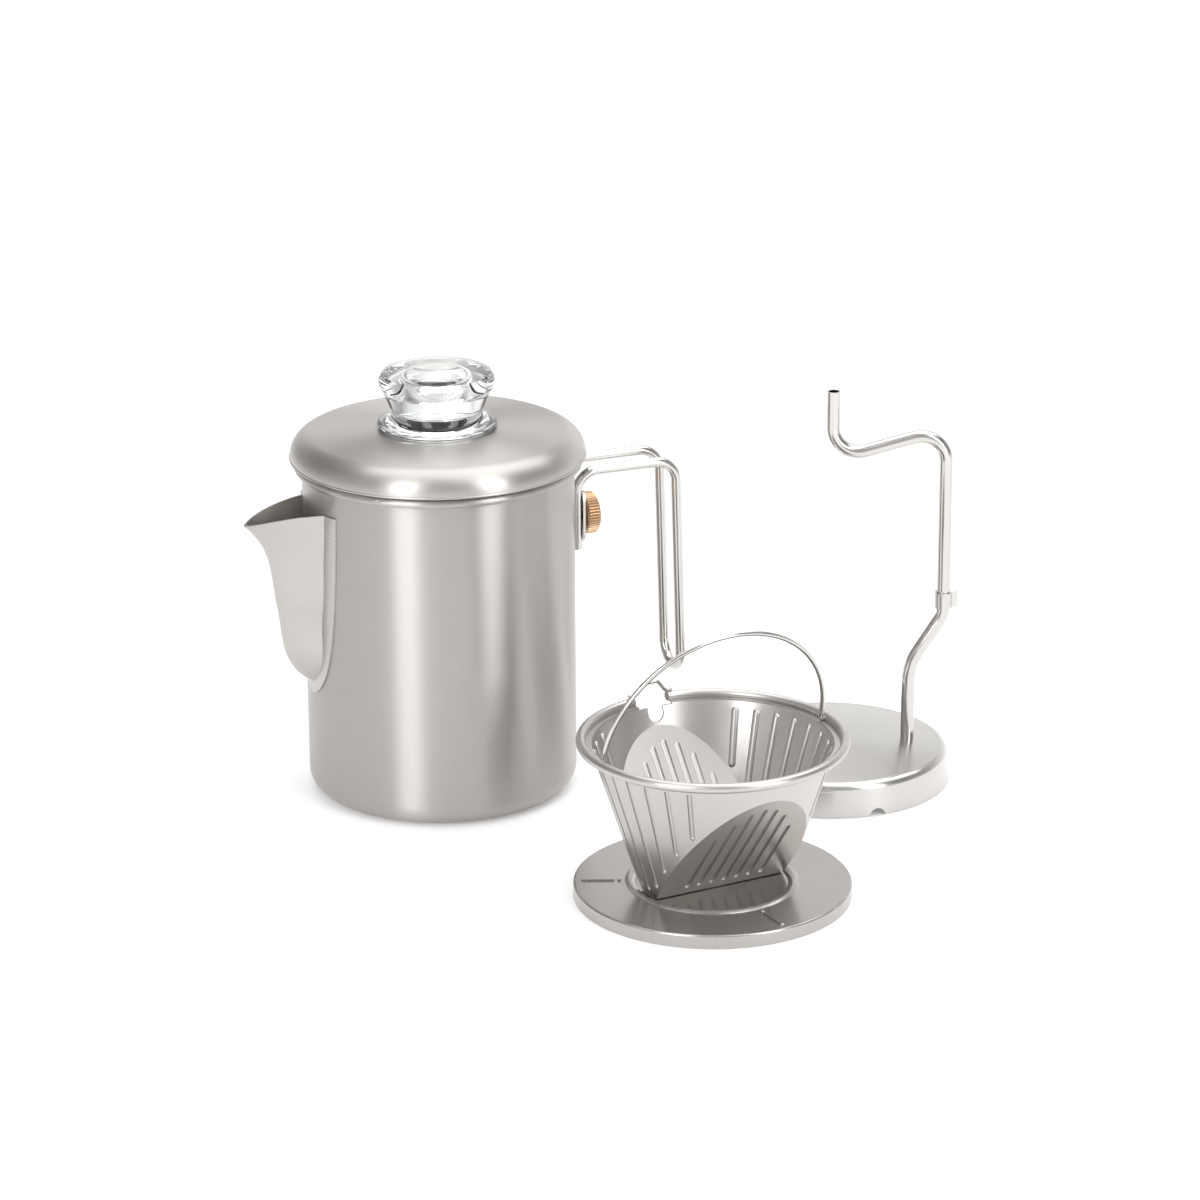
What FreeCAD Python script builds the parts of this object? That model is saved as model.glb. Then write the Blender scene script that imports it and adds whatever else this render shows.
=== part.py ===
import FreeCAD, Part
import math
import os

import Sketcher

# Camping coffee percolator: pot with lid, glass knob and wire handle, cone basket standing on its
# drip plate, and the pump (base and tube) standing beside them.
# Millimetres, +Z up. The origin is the centre of the pot's foot; +X points along the handle and the
# spout points along -X.

SIZES = [
    ("pot_od", 110.0, "outside diameter of the pot wall"),
    ("pot_wall", 0.8, "sheet thickness of the pot"),
    ("pot_corner", 8.2, "outer radius where wall meets floor"),
    ("pot_height", 138.9, "top of the rolled rim above the foot"),
    ("rim_bead", 3.4, "thickness of the rolled rim"),
    ("strainer_hole", 4.5, "diameter of the pouring holes behind the spout"),
    ("strainer_pitch", 8.0, "distance between pouring holes"),
    ("strainer_above", 15.0, "lowest row of pouring holes above the spout's lower end"),
    ("spout_wall", 0.8, "sheet thickness of the spout"),
    ("spout_reach", 28.0, "tip of the spout beyond the pot wall"),
    ("spout_width", 30.0, "width of the spout's mouth at the wall"),
    ("spout_below", 13.6, "spout's top edge at the wall below the top of the pot"),
    ("spout_drop", 5.6, "how far the tip lies below that edge"),
    ("spout_base", 51.0, "height of the lower end of the spout"),
    ("spout_flange", 6.0, "width of the welding flange round the spout"),
    ("wire_d", 4.2, "thickness of the handle wire"),
    ("rod_gap", 17.6, "distance between the two handle rods"),
    ("grip_room", 45.0, "grip of the handle from the pot wall"),
    ("rod_lean", 2.3, "how much further out the foot of the grip is"),
    ("rod_below", 10.8, "handle's upper rods below the top of the pot"),
    ("rod_foot", 44.7, "height at which the rods turn into the lower loop"),
    ("rod_end_below", 43.5, "wire ends in the clamp below the top of the pot"),
    ("rod_bend", 9.0, "bending radius of the handle wire"),
    ("clamp_height", 23.0, "height of the clamp plate"),
    ("clamp_margin", 0.6, "how much wider the clamp plate is than the two rods"),
    ("clamp_sheet", 1.0, "thickness of the clamp plate"),
    ("clamp_below", 29.9, "middle of the clamp plate below the top of the pot"),
    ("screw_below", 31.6, "thumb screw below the top of the pot"),
    ("screw_head", 17.3, "diameter of the knurled head"),
    ("screw_head_length", 5.8, "length of the knurled head"),
    ("screw_shank", 4.8, "diameter of the screw's shank"),
    ("knurls", 44, "grooves round the head"),
    ("lid_overhang", 1.7, "how far the lid reaches past the pot's rolled rim"),
    ("lid_sheet", 0.8, "sheet thickness of the lid"),
    ("lid_gap", 0.7, "open gap between the pot's rim and the lid's hem"),
    ("lid_lip", 1.1, "height of the lid's rolled hem"),
    ("lid_shoulder", 9.2, "radius of the lid's shoulder"),
    ("lid_slope", 5.0, "fall of the lid's crown where the shoulder begins, degrees"),
    ("lid_skirt", 8.0, "depth of the ring that enters the pot"),
    ("knob_od", 48.2, "diameter of the knob's foot flange"),
    ("knob_top_od", 46.8, "diameter of the knob's top"),
    ("knob_waist", 36.6, "diameter of the knob's waist"),
    ("knob_height", 24.4, "height of the knob above its seat"),
    ("knob_wall", 2.0, "thickness of the glass of the knob's neck"),
    ("knob_neck", 31.0, "diameter of the neck that passes the lid"),
    ("disc_x", 54.8, "drip plate centre, along the handle"),
    ("disc_y", -153.0, "drip plate centre, across the handle"),
    ("disc_play", 0.35, "play between the drip plate and the pot's inner wall"),
    ("disc_height", 5.4, "height of the drip plate"),
    ("disc_sheet", 0.8, "sheet thickness of the drip plate"),
    ("disc_bead_room", 3.1, "middle of the raised ring outside the basket's foot"),
    ("disc_bead_width", 4.6, "width of the raised ring"),
    ("basket_turn", 6.0, "direction of the basket's long axis, degrees"),
    ("basket_step", 5.3, "how far the rim reaches past the basket wall"),
    ("basket_play", 0.55, "play between the basket's rim and the plate's skirt over it"),
    ("basket_foot", 56.8, "length of the basket's wedge-shaped foot"),
    ("basket_foot_width", 11.2, "width of the basket's foot"),
    ("basket_height", 57.0, "height of the basket wall"),
    ("basket_sheet", 0.7, "sheet thickness of the basket"),
    ("basket_rim", 3.8, "thickness of the basket's rolled rim"),
    ("panel_top", 48.5, "height where the flat panels run out in the cone"),
    ("rib_width", 3.3, "width of the basket's ribs"),
    ("rib_pitch", 5.4, "distance between the ribs of a flat panel"),
    ("notch_width", 6.8, "width of the notch for the pump tube in the basket wall"),
    ("notch_depth", 9.6, "depth of that notch below the rim's top"),
    ("rim_gap", 14.6, "width of the gap in the rolled rim above the notch"),
    ("keeper_wire", 1.5, "thickness of the wire loop that bridges the rim gap"),
    ("keeper_rise", 5.0, "height of that loop above the rim"),
    ("bail_wire", 1.9, "thickness of the basket's bail"),
    ("bail_leg", 1.8, "straight leg of the bail above its pivot"),
    ("bail_lean", 17.5, "lean of the bail from upright, degrees"),
    ("pump_x", 149.0, "pump base centre, along the handle"),
    ("pump_y", -56.3, "pump base centre, across the handle"),
    ("pump_turn", -21.9, "direction of the pump's offset tube, degrees"),
    ("pump_play", 4.5, "play between the pump base and the pot's inner wall"),
    ("pump_taper", 1.1, "how much the base's skirt narrows upwards"),
    ("pump_skirt", 10.6, "height of the base's skirt"),
    ("pump_shoulder", 3.6, "radius of the base's shoulder"),
    ("pump_crown", 16.2, "height of the base at its centre"),
    ("pump_sheet", 0.8, "sheet thickness of the pump base"),
    ("pump_notch", 7.0, "width of the inlet notches in the skirt"),
    ("pump_notch_turn", 20.5, "angle from the tube to the next inlet notch, degrees"),
    ("tube_od", 5.4, "outside diameter of the pump tube"),
    ("tube_wall", 0.6, "wall thickness of the pump tube"),
    ("tube_inset", 17.7, "tube's foot inside the edge of the base"),
    ("tube_notch_inset", 6.8, "tube's upright part inside the edge of the basket's rim"),
    ("tube_above", 25.7, "open tip of the tube above the top of the pot"),
    ("tube_entry", 11.0, "height of the tube's lower end, inside the base"),
    ("clip_height", 6.6, "height of the clip on the tube"),
    ("clip_base", 72.6, "height of the clip's lower edge"),
]

doc = FreeCAD.newDocument("percolator")


def fill_sheet():
    """Put every driving size in a spreadsheet cell with an alias."""
    sheet = doc.addObject("Spreadsheet::Sheet", "Sizes")
    for row, (name, value, note) in enumerate(SIZES, start=1):
        sheet.set(f"A{row}", name)
        sheet.set(f"B{row}", str(value))
        sheet.set(f"C{row}", note)
        sheet.setAlias(f"B{row}", name)
    doc.recompute()
    return sheet


class Dim:
    """A size that carries its number and the sheet expression it comes from."""

    def __init__(self, value, text):
        self.value = float(value)
        self.text = text

    def _join(self, other, sign, value):
        other_text = other.text if isinstance(other, Dim) else repr(float(other))
        return Dim(value, f"({self.text} {sign} {other_text})")

    def __add__(self, other):
        return self._join(other, "+", self.value + number(other))

    def __sub__(self, other):
        return self._join(other, "-", self.value - number(other))

    def __mul__(self, other):
        return self._join(other, "*", self.value * number(other))

    def __truediv__(self, other):
        return self._join(other, "/", self.value / number(other))

    def __neg__(self):
        return Dim(-self.value, f"(-{self.text})")

    def root(self):
        return Dim(math.sqrt(self.value), f"sqrt({self.text})")

    def cosine(self):
        return Dim(math.cos(math.radians(self.value)), f"cos({self.text} * 1 deg)")

    def sine(self):
        return Dim(math.sin(math.radians(self.value)), f"sin({self.text} * 1 deg)")


def number(size):
    """The plain number of a Dim, or the number itself."""
    return size.value if isinstance(size, Dim) else float(size)


def expression(size):
    """The sheet expression of a Dim, or the number as text."""
    return size.text if isinstance(size, Dim) else repr(float(size))


sheet = fill_sheet()
dims = {name: Dim(sheet.get(name), f"Sizes.{name}") for name, value, note in SIZES}
ZERO = Dim(0, "0")


def fitted(name, size):
    """A size that follows from others, so that the pieces still fit when one of them changes."""
    row = len(dims) + 1
    sheet.set(f"A{row}", name)
    sheet.set(f"B{row}", "=" + size.text.replace("Sizes.", ""))
    sheet.setAlias(f"B{row}", name)
    doc.recompute()
    dims[name] = Dim(size.value, f"Sizes.{name}")


def fit_sizes():
    """The sizes of pieces that go over, into or beside another piece."""
    d = dims
    fitted("pot_inside", d["pot_od"] - d["pot_wall"] * 2)
    fitted("rim_od", d["pot_od"] + d["rim_bead"] * 2 - d["pot_wall"] / 2)
    fitted("spout_top", d["pot_height"] - d["spout_below"])
    fitted("strainer_base", d["spout_base"] + d["strainer_above"])
    fitted("rod_reach", d["pot_od"] / 2 + d["grip_room"])
    fitted("rod_top", d["pot_height"] - d["rod_below"])
    fitted("rod_end", d["pot_height"] - d["rod_end_below"])
    fitted("clamp_width", d["rod_gap"] + d["wire_d"] + d["clamp_margin"])
    fitted("clamp_centre", d["pot_height"] - d["clamp_below"])
    fitted("screw_centre", d["pot_height"] - d["screw_below"])
    fitted("lid_od", d["rim_od"] + d["lid_overhang"] * 2)
    fitted("knob_bore", d["knob_neck"] - d["knob_wall"] * 2)
    fitted("disc_od", d["pot_inside"] - d["disc_play"] * 2)
    fitted("disc_bead", d["basket_foot"] + d["disc_bead_room"] * 2)
    fitted("basket_rim_od", d["disc_od"] - (d["disc_sheet"] + d["basket_play"]) * 2)
    fitted("basket_top", d["basket_rim_od"] - d["basket_step"] * 2)
    fitted("pump_od", d["pot_inside"] - d["pump_play"] * 2)
    fitted("tube_bore", d["tube_od"] - d["tube_wall"] * 2)
    fitted("tube_foot", d["pump_od"] / 2 - d["tube_inset"])
    fitted("tube_offset", d["basket_rim_od"] / 2 - d["tube_notch_inset"])
    fitted("tube_height", d["pot_height"] + d["tube_above"])


fit_sizes()
num = {name: size.value for name, size in dims.items()}
SIN45 = math.sin(math.radians(45))

# ---------------------------------------------------------------- sketches and features


def dome_drop(radius, rise):
    """How far a spherical cap of this radius and rise lies below its crown at half its radius."""
    ball = (radius * radius + rise * rise) / (rise * 2)
    return ball - (ball * ball - radius * radius / 4).root()


def bind(obj, prop, size):
    """Tie a property to the sheet."""
    obj.setExpression(prop, expression(size))


def new_body(label):
    body = doc.addObject("PartDesign::Body", label)
    body.Label = label
    return body


def new_sketch(body, role, name):
    """A sketch on one of the body's own origin planes."""
    sketch = body.newObject("Sketcher::SketchObject", name)
    plane = [item for item in body.Origin.OriginFeatures if item.Role == role][0]
    sketch.AttachmentSupport = (plane, [""])
    sketch.MapMode = "FlatFace"
    return sketch


def fix_point(sketch, geometry, position, across, up):
    """Dimension one sketch point from the sketch's origin."""
    for kind, size, axis in (("DistanceX", across, -2), ("DistanceY", up, -1)):
        if size is ZERO:
            sketch.addConstraint(Sketcher.Constraint("PointOnObject", geometry, position, axis))
        else:
            constraint = Sketcher.Constraint(kind, -1, 1, geometry, position, number(size))
            index = sketch.addConstraint(constraint)
            bind(sketch, f"Constraints[{index}]", size)


def draw_outline(sketch, corners, bulges=None):
    """Closed outline through corners (pairs of sizes).

    bulges maps a corner's index to the point that the edge leaving it passes through, as an arc.
    """
    bulges = bulges or {}
    flat = [FreeCAD.Vector(number(u), number(v), 0) for u, v in corners]
    edges = []
    for index, start in enumerate(flat):
        end = flat[(index + 1) % len(flat)]
        if index in bulges:
            u, v = bulges[index]
            middle = FreeCAD.Vector(number(u), number(v), 0)
            edges.append(sketch.addGeometry(Part.Arc(start, middle, end), False))
        else:
            edges.append(sketch.addGeometry(Part.LineSegment(start, end), False))
    ends = []
    for index, edge in enumerate(edges):
        first = sketch.getPoint(edge, 1)
        ends.append((1, 2) if first.distanceToPoint(flat[index]) < 1e-6 else (2, 1))
    for index, edge in enumerate(edges):
        after = (index + 1) % len(edges)
        link = Sketcher.Constraint("Coincident", edge, ends[index][1], edges[after], ends[after][0])
        sketch.addConstraint(link)
    for index, (across, up) in enumerate(corners):
        fix_point(sketch, edges[index], ends[index][0], across, up)
    for index, (across, up) in bulges.items():
        middle = FreeCAD.Vector(number(across), number(up), 0)
        dot = sketch.addGeometry(Part.Point(middle), True)
        fix_point(sketch, dot, 1, across, up)
        sketch.addConstraint(Sketcher.Constraint("PointOnObject", dot, 1, edges[index]))


def draw_circle(sketch, across, up, diameter):
    centre = FreeCAD.Vector(number(across), number(up), 0)
    circle = Part.Circle(centre, FreeCAD.Vector(0, 0, 1), number(diameter) / 2)
    index = sketch.addGeometry(circle, False)
    fix_point(sketch, index, 3, across, up)
    size = sketch.addConstraint(Sketcher.Constraint("Diameter", index, number(diameter)))
    bind(sketch, f"Constraints[{size}]", diameter)


def revolve(body, sketch, name):
    """Turn a sketch on the XZ plane once round the body's Z axis."""
    turn = body.newObject("PartDesign::Revolution", name)
    turn.Profile = sketch
    turn.ReferenceAxis = (sketch, ["V_Axis"])
    turn.Angle = 360
    return turn


def pad(body, sketch, length, name, both_sides=False, reverse=False):
    raised = body.newObject("PartDesign::Pad", name)
    raised.Profile = sketch
    bind(raised, "Length", length)
    raised.Midplane = both_sides
    raised.Reversed = reverse
    return raised


def pocket(body, sketch, length, name, both_sides=False, reverse=False):
    """Cut a sketch into the body and make sure that it takes something away."""
    doc.recompute()
    before = body.Shape.Volume
    cut = body.newObject("PartDesign::Pocket", name)
    cut.Profile = sketch
    bind(cut, "Length", length)
    cut.Midplane = both_sides
    cut.Reversed = reverse
    doc.recompute()
    if body.Shape.Volume > before - 1e-3:
        raise RuntimeError(f"{name} cuts nothing")
    return cut


def round_edges(body, name, radius, chosen):
    """Fillet the tip's edges for which chosen(edge) is true."""
    doc.recompute()
    base = body.Tip
    names = [f"Edge{n}" for n, edge in enumerate(base.Shape.Edges, start=1) if chosen(edge)]
    if not names:
        raise RuntimeError(f"{name} finds no edge")
    fillet = body.newObject("PartDesign::Fillet", name)
    fillet.Base = (base, names)
    bind(fillet, "Radius", radius)
    return fillet


def ring_at(radius, height):
    """A test for full circles of this radius at this height."""
    def chosen(edge):
        if not isinstance(edge.Curve, Part.Circle):
            return False
        circle = edge.Curve
        return abs(circle.Radius - radius) < 1e-4 and abs(circle.Center.z - height) < 1e-4
    return chosen


def polar_copies(body, feature, sketch, count, name):
    """Repeat a feature evenly round the sketch's V axis."""
    copies = body.newObject("PartDesign::PolarPattern", name)
    copies.Originals = [feature]
    copies.Axis = (sketch, ["V_Axis"])
    copies.Angle = 360
    bind(copies, "Occurrences", count)
    body.Tip = copies
    return copies


def shape_feature(label, shape):
    """A sub-part whose shape comes from Part's own functions."""
    feature = doc.addObject("Part::Feature", label)
    feature.Label = label
    feature.Shape = shape
    return feature


def place(obj, x, y, z, turn):
    """Stand a piece at a point of the row frame, turned about the vertical."""
    obj.Placement = FreeCAD.Placement(
        FreeCAD.Vector(number(x), number(y), number(z)),
        FreeCAD.Rotation(FreeCAD.Vector(0, 0, 1), number(turn)),
    )
    for axis, size in (("x", x), ("y", y), ("z", z)):
        bind(obj, f"Placement.Base.{axis}", size)


def bent_path(points, radii):
    """Straight runs through points, joined by tangent arcs; radii has one radius per inner point."""
    edges = []
    start = points[0]
    for index, radius in enumerate(radii, start=1):
        before, corner, after = points[index - 1], points[index], points[index + 1]
        inward = (before - corner).normalize()
        outward = (after - corner).normalize()
        half_turn = (math.pi - inward.getAngle(outward)) / 2
        reach = radius * math.tan(half_turn)
        entry = corner + inward * reach
        leave = corner + outward * reach
        bisector = (inward + outward).normalize()
        centre = corner + bisector * (radius / math.cos(half_turn))
        middle = centre - bisector * radius
        edges.append(Part.LineSegment(start, entry).toShape())
        edges.append(Part.Arc(entry, middle, leave).toShape())
        start = leave
    edges.append(Part.LineSegment(start, points[-1]).toShape())
    return Part.Wire(edges)


def swept_round(name, wire, diameter):
    """A Part::Sweep of a circle along a wire, its diameter tied to the sheet."""
    spine = shape_feature(f"{name}_path", wire)
    first = wire.Edges[0]
    direction = first.tangentAt(first.FirstParameter)
    section = doc.addObject("Part::Circle", f"{name}_section")
    section.Placement = FreeCAD.Placement(
        first.valueAt(first.FirstParameter),
        FreeCAD.Rotation(FreeCAD.Vector(0, 0, 1), direction),
    )
    bind(section, "Radius", diameter / 2)
    sweep = doc.addObject("Part::Sweep", name)
    sweep.Sections = [section]
    sweep.Spine = (spine, [f"Edge{n}" for n in range(1, len(wire.Edges) + 1)])
    sweep.Solid = True
    sweep.Frenet = False
    return sweep


def boolean(kind, label, base, tool):
    """Part::Cut, Part::Fuse or Part::Common of two document objects."""
    result = doc.addObject(f"Part::{kind}", label)
    result.Label = label
    result.Base = base
    result.Tool = tool
    return result


def capsule(start, end, radius):
    """A round bar with round ends between two points."""
    axis = end - start
    length = axis.Length
    half = [
        Part.Arc(FreeCAD.Vector(0, 0, -radius), FreeCAD.Vector(radius * SIN45, 0, -radius * SIN45),
                 FreeCAD.Vector(radius, 0, 0)).toShape(),
        Part.LineSegment(FreeCAD.Vector(radius, 0, 0), FreeCAD.Vector(radius, 0, length)).toShape(),
        Part.Arc(FreeCAD.Vector(radius, 0, length),
                 FreeCAD.Vector(radius * SIN45, 0, length + radius * SIN45),
                 FreeCAD.Vector(0, 0, length + radius)).toShape(),
        Part.LineSegment(FreeCAD.Vector(0, 0, length + radius),
                         FreeCAD.Vector(0, 0, -radius)).toShape(),
    ]
    bar = Part.Face(Part.Wire(half)).revolve(FreeCAD.Vector(), FreeCAD.Vector(0, 0, 1), 360)
    bar.Placement = FreeCAD.Placement(start, FreeCAD.Rotation(FreeCAD.Vector(0, 0, 1), axis))
    return bar


# ---------------------------------------------------------------- the pot

CLEAR = 0.3      # between a moving piece and the face it rests on
TIGHT = 0.08     # between the handle wire and the metal that pinches it
PIN_CLEAR = 0.06     # round the bail's ends in the basket's rim
BAIL_PIN = 0.3       # how far the bail's ends pass the middle of the rim
PIN_END_GAP = 0.3    # beyond those ends


def pot_body():
    """Drawn pot with a rolled rim and rows of pouring holes behind the spout."""
    d = dims
    outer = d["pot_od"] / 2
    inner = outer - d["pot_wall"]
    wall_top = d["pot_height"] - d["rim_bead"] / 2
    body = new_body("pot_body")
    profile = new_sketch(body, "XZ_Plane", "pot_profile")
    draw_outline(profile, [
        (ZERO, ZERO), (outer, ZERO), (outer, wall_top), (inner, wall_top),
        (inner, d["pot_wall"]), (ZERO, d["pot_wall"]),
    ])
    revolve(body, profile, "pot_shell")
    round_edges(body, "pot_foot_outside", d["pot_corner"], ring_at(outer.value, 0))
    round_edges(body, "pot_foot_inside", d["pot_corner"] - d["pot_wall"],
                ring_at(inner.value, num["pot_wall"]))
    bead = new_sketch(body, "XZ_Plane", "rim_profile")
    draw_circle(bead, outer + d["rim_bead"] / 2 - d["pot_wall"] / 4, wall_top, d["rim_bead"])
    revolve(body, bead, "rolled_rim")
    holes = new_sketch(body, "YZ_Plane", "pouring_holes")
    for column in (-1, 0, 1):
        across = d["strainer_pitch"] * column if column else ZERO
        draw_circle(holes, across, d["strainer_base"], d["strainer_hole"])
    row = pocket(body, holes, outer + 1, "pouring_row", reverse=False)
    rows = body.newObject("PartDesign::LinearPattern", "pouring_rows")
    rows.Originals = [row]
    rows.Direction = (holes, ["V_Axis"])
    bind(rows, "Length", d["strainer_pitch"] * 5)
    rows.Occurrences = 6
    body.Tip = rows
    return body


def spout_section(height, reach, width, power):
    """Plan outline of the spout at one height: wall, side, nose and the other side."""
    root = num["pot_od"] / 2 - 2.5
    shares = (0.0, 0.3, 0.6, 0.85, 0.96)
    side = [(root + reach * share, width / 2 * (1 - share) ** power) for share in shares]
    points = [FreeCAD.Vector(-x, -y, height) for x, y in side]
    points.append(FreeCAD.Vector(-(root + reach), 0, height))
    points += [FreeCAD.Vector(-x, y, height) for x, y in reversed(side)]
    curve = Part.BSplineCurve()
    curve.interpolate(points)
    back = Part.LineSegment(points[-1], points[0]).toShape()
    return Part.Wire([curve.toShape(), back])


def spout_solid(inset):
    """The spout as a filled body, its outline moved inwards by inset."""
    # share of the height, share of the reach, share of the width, sharpness of the nose
    stations = (
        (0.00, 0.03, 0.16, 0.55), (0.035, 0.16, 0.42, 0.55), (0.10, 0.31, 0.68, 0.56),
        (0.25, 0.45, 0.80, 0.57), (0.48, 0.535, 0.88, 0.58), (0.70, 0.62, 0.94, 0.60),
        (0.82, 0.745, 0.97, 0.62), (0.93, 0.98, 1.00, 0.64), (1.03, 1.22, 1.03, 0.66),
    )
    rise = num["spout_top"] - num["spout_base"]
    depth = num["spout_reach"] + 2.5
    sections = []
    for up, out, wide, power in stations:
        reach = 2.5 + (depth - 2.5) * out - inset
        width = num["spout_width"] * wide - 2 * inset
        sections.append(spout_section(num["spout_base"] + inset + rise * up, reach, width, power))
    return Part.makeLoft(sections, True, False)


def spout():
    """Pressed spout with its welding flange, open at the top, standing on the pot wall."""
    radius = num["pot_od"] / 2
    top = num["spout_top"]
    outside = spout_solid(0.0)
    inside = spout_solid(num["spout_wall"])
    shell = outside.cut(inside)
    flange_r = num["spout_width"] / 2 + num["spout_flange"]
    foot = num["spout_base"] - 0.8 * num["spout_flange"]
    blank = Part.Wire([
        Part.LineSegment(FreeCAD.Vector(0, -flange_r, top),
                         FreeCAD.Vector(0, flange_r, top)).toShape(),
        bezier([(flange_r, top), (flange_r - 1.5, top - 48), (flange_r - 3, foot + 3), (0, foot)]),
        bezier([(0, foot), (3 - flange_r, foot + 3), (1.5 - flange_r, top - 48), (-flange_r, top)]),
    ])
    band = Part.Face(blank).extrude(FreeCAD.Vector(-radius - 5, 0, 0))
    tall = 2 * num["pot_height"]
    ring = Part.makeCylinder(radius + num["spout_wall"] * 0.75, tall)
    ring = ring.cut(Part.makeCylinder(radius, tall))
    flange = band.common(ring).cut(inside)
    joined = shell.fuse(flange).cut(Part.makeCylinder(radius, tall))
    joined = joined.cut(spout_lip(radius, top))
    solid = max(joined.Solids, key=lambda part: part.Volume)
    return shape_feature("spout", solid.removeSplitter())


def bezier(points):
    """One smooth edge in the YZ plane from (y, z) control points."""
    curve = Part.BezierCurve()
    curve.setPoles([FreeCAD.Vector(0, y, z) for y, z in points])
    return curve.toShape()


def spout_lip(radius, top):
    """What the curved top edge of the spout cuts away."""
    reach = num["spout_reach"]
    wide = num["spout_width"] * 3
    low = FreeCAD.Vector(-radius - reach * 1.3, -wide / 2, top - num["spout_drop"] * 1.6)
    crest = FreeCAD.Vector(-radius - reach * 0.5, -wide / 2, top - num["spout_drop"] * 0.3)
    near = FreeCAD.Vector(-radius + 4, -wide / 2, top)
    lift = FreeCAD.Vector(0, 0, 60)
    outline = Part.Wire([
        Part.Arc(low, crest, near).toShape(),
        Part.LineSegment(near, near + lift).toShape(),
        Part.LineSegment(near + lift, low + lift).toShape(),
        Part.LineSegment(low + lift, low).toShape(),
    ])
    return Part.Face(outline).extrude(FreeCAD.Vector(0, wide, 0))


# ---------------------------------------------------------------- handle and clamp


def wire_radius():
    """Distance from the pot's axis to the centre line of the wire beside the wall."""
    return num["pot_od"] / 2 + num["wire_d"] / 2 + TIGHT


def wire_reach():
    """X of the clamped wire ends, whose rods stand either side of the handle's plane."""
    return math.sqrt(wire_radius() ** 2 - (num["rod_gap"] / 2) ** 2)


def handle_wire():
    """One wire bent into the double-rod handle."""
    half = num["rod_gap"] / 2
    start_x = wire_reach()
    grip = num["rod_reach"]
    foot_x = grip + num["rod_lean"]
    top = num["rod_top"]
    foot = num["rod_foot"]
    bend = num["rod_bend"]
    rod = [
        FreeCAD.Vector(start_x, -half, num["rod_end"]), FreeCAD.Vector(start_x, -half, top),
        FreeCAD.Vector(grip, -half, top), FreeCAD.Vector(foot_x, -half, foot),
    ]
    near = bent_path(rod, [bend, bend])
    down = (rod[3] - rod[2]).normalize()
    bottom = FreeCAD.Vector(foot_x, 0, foot) + down * half
    loop = Part.Arc(rod[3], bottom, FreeCAD.Vector(foot_x, half, foot)).toShape()
    far_points = [FreeCAD.Vector(p.x, -p.y, p.z) for p in reversed(rod)]
    far = bent_path(far_points, [bend, bend])
    path = Part.Wire(near.Edges + [loop] + far.Edges)
    return swept_round("handle_wire", path, dims["wire_d"])


def plate_radius():
    """Inner radius of the clamp plate, which lies over the two wire ends."""
    return dims["pot_od"] / 2 + dims["wire_d"] + 3 * TIGHT


def clamp_plate():
    """Curved plate that pinches the wire ends against the pot wall."""
    d = dims
    inner = plate_radius()
    outer = inner + d["clamp_sheet"]
    body = new_body("clamp_plate")
    blank = new_sketch(body, "YZ_Plane", "plate_outline")
    half = d["clamp_width"] / 2
    low = d["clamp_centre"] - d["clamp_height"] / 2
    high = d["clamp_centre"] + d["clamp_height"] / 2
    draw_outline(blank, [(-half, low), (half, low), (half, high), (-half, high)])
    pad(body, blank, outer + 2, "plate_blank")
    doc.recompute()
    round_edges(body, "plate_corners", half * 0.45,
                lambda edge: is_along_x(edge, num["pot_od"] / 4))
    doc.recompute()
    hollow = new_sketch(body, "XY_Plane", "plate_back")
    draw_circle(hollow, ZERO, ZERO, inner * 2)
    pocket(body, hollow, d["pot_height"] * 2, "plate_hollow", reverse=True)
    shave = new_sketch(body, "XY_Plane", "plate_front")
    draw_circle(shave, ZERO, ZERO, outer * 2)
    draw_circle(shave, ZERO, ZERO, outer * 2.4)
    pocket(body, shave, d["pot_height"] * 2, "plate_face", reverse=True)
    hole = new_sketch(body, "YZ_Plane", "plate_hole")
    draw_circle(hole, ZERO, d["screw_centre"], d["screw_shank"] + 2 * CLEAR)
    pocket(body, hole, outer + 2, "plate_bore", reverse=True)
    return body


def is_along_x(edge, shortest):
    """True for a straight edge along X that is at least this long."""
    if not isinstance(edge.Curve, Part.Line):
        return False
    return abs(edge.tangentAt(edge.FirstParameter).x) > 0.999 and edge.Length > shortest


def screw_boss():
    """Threaded boss welded to the pot wall between the two wire ends."""
    d = dims
    wall = d["pot_od"] / 2
    body = new_body("screw_boss")
    face = new_sketch(body, "YZ_Plane", "boss_outline")
    draw_circle(face, ZERO, d["screw_centre"], d["rod_gap"] - d["wire_d"] - 4 * CLEAR)
    pad(body, face, wall + d["wire_d"] - 2 * CLEAR, "boss_round")
    hollow = new_sketch(body, "XY_Plane", "boss_back")
    draw_circle(hollow, ZERO, ZERO, d["pot_od"])
    pocket(body, hollow, d["pot_height"] * 2, "boss_seat", reverse=True)
    bore = new_sketch(body, "YZ_Plane", "boss_bore")
    draw_circle(bore, ZERO, d["screw_centre"], d["screw_shank"] + 0.1)
    pocket(body, bore, wall * 2, "boss_thread", reverse=True)
    return body


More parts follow.
